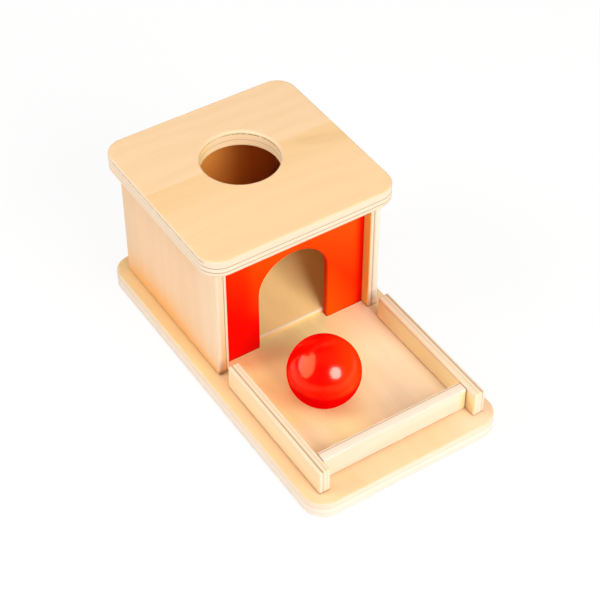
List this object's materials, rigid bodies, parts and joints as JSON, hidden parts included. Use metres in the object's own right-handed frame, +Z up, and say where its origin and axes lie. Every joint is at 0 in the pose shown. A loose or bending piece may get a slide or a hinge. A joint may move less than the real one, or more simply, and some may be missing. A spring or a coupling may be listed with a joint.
{
  "type": "object permanence box",
  "caption": "Wooden drop box for babies: a ball dropped through the round hole in the top rolls down a hidden ramp and out of an arched doorway into a railed tray.",
  "frame": {"origin": "centre of the base board's underside", "axes": "+Z up, +X to the right seen from the tray end, +Y from the tray end to the box end, the long way of the toy"},
  "size_m": [0.152, 0.278, 0.1275],
  "materials": {
    "birch_board": "satin lacquered birch plywood, pale ply lines along the edges",
    "birch_wall": "satin birch plywood, upright grain",
    "thin_ply": "plain thin plywood",
    "rail_ply": "sanded birch plywood with its ply lines along the top",
    "red_paint": "satin red paint on plywood",
    "red_lacquer": "gloss red lacquer on turned wood",
    "screw_steel": "zinc plated",
    "dowel_beech": "plain beech"
  },
  "bodies": {
    "box": {"base_board": "birch_board", "left_wall": "birch_wall", "right_wall": "birch_wall", "back_wall": "birch_wall", "front_panel": "red_paint", "top_board": "birch_board", "ramp": "thin_ply", "ramp_ledger": "thin_ply", "left_rail": "rail_ply", "right_rail": "rail_ply", "front_rail": "rail_ply", "base_screws": "screw_steel", "top_dowels": "dowel_beech"},
    "ball": {"ball": "red_lacquer"}
  },
  "joints": [
    {"name": "ball_lift", "type": "slide", "parent": "box", "child": "ball", "axis": [0, 0, 1], "range_m": [0, 0.13]}
  ]
}
